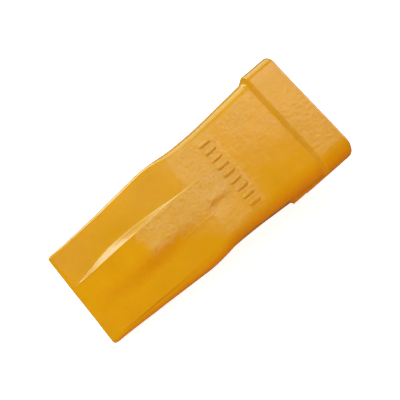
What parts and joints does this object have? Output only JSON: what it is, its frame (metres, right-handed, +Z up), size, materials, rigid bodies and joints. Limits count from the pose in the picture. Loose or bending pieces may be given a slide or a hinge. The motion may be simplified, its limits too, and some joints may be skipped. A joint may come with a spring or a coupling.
{
  "type": "excavator bucket tooth",
  "caption": "Cast digging tooth with a ribbed chisel blade and a collared socket, held on its adapter by a cross pin and sprung lock washers.",
  "frame": {"origin": "on the floor, under the middle of the box round the whole tooth", "axes": "+Y from the digging tip to the mouth of the socket, +X across the tooth along the lock pin, +Z up as the tooth lies on a floor"},
  "size_m": [0.132, 0.3002, 0.1138],
  "materials": {
    "yellow_paint": "glossy yellow-orange paint over a sand-cast steel skin",
    "pin_steel": "turned, lightly oiled steel",
    "washer_steel": "zinc-phosphated pressed steel",
    "rubber": "matt moulded rubber"
  },
  "bodies": {
    "tooth": {"tooth_casting": "yellow_paint"},
    "pin": {"lock_pin": "pin_steel"},
    "washer_left": {"lock_ring_left": "washer_steel", "lock_rubber_left": "rubber"},
    "key_left_1": {"lock_key_left_1": "washer_steel"},
    "key_left_2": {"lock_key_left_2": "washer_steel"},
    "key_left_3": {"lock_key_left_3": "washer_steel"},
    "washer_right": {"lock_ring_right": "washer_steel", "lock_rubber_right": "rubber"},
    "key_right_1": {"lock_key_right_1": "washer_steel"},
    "key_right_2": {"lock_key_right_2": "washer_steel"},
    "key_right_3": {"lock_key_right_3": "washer_steel"}
  },
  "joints": [
    {"name": "pin_slide", "type": "slide", "parent": "tooth", "child": "pin", "axis": [1, 0, 0], "range_m": [0, 0.14], "deforming": ["lock_key_left_1", "lock_key_left_2", "lock_key_left_3", "lock_key_right_1", "lock_key_right_2", "lock_key_right_3"]},
    {"name": "washer_left_slide", "type": "slide", "parent": "tooth", "child": "washer_left", "axis": [1, 0, 0], "range_m": [0, 0.012]},
    {"name": "key_left_1_slide", "type": "slide", "parent": "washer_left", "child": "key_left_1", "axis": [0, 0.9898, 0.1426], "range_m": [0, 0.0015], "stiffness_N_per_m": 200, "springref_m": -0.001, "deforming": ["lock_rubber_left"]},
    {"name": "key_left_2_slide", "type": "slide", "parent": "washer_left", "child": "key_left_2", "axis": [0, -0.6184, 0.7859], "range_m": [0, 0.0015]},
    {"name": "key_left_3_slide", "type": "slide", "parent": "washer_left", "child": "key_left_3", "axis": [0, -0.3714, -0.9285], "range_m": [0, 0.0015]},
    {"name": "washer_right_slide", "type": "slide", "parent": "tooth", "child": "washer_right", "axis": [-1, 0, 0], "range_m": [0, 0.012]},
    {"name": "key_right_1_slide", "type": "slide", "parent": "washer_right", "child": "key_right_1", "axis": [0, 0.9898, 0.1426], "range_m": [0, 0.0015], "stiffness_N_per_m": 200, "springref_m": -0.001, "deforming": ["lock_rubber_right"]},
    {"name": "key_right_2_slide", "type": "slide", "parent": "washer_right", "child": "key_right_2", "axis": [0, -0.6184, 0.7859], "range_m": [0, 0.0015]},
    {"name": "key_right_3_slide", "type": "slide", "parent": "washer_right", "child": "key_right_3", "axis": [0, -0.3714, -0.9285], "range_m": [0, 0.0015]}
  ],
  "couplings": [
    {"joint": "key_left_2_slide", "follows": "key_left_1_slide", "ratio": 1},
    {"joint": "key_left_3_slide", "follows": "key_left_1_slide", "ratio": 1},
    {"joint": "key_right_2_slide", "follows": "key_right_1_slide", "ratio": 1},
    {"joint": "key_right_3_slide", "follows": "key_right_1_slide", "ratio": 1}
  ]
}
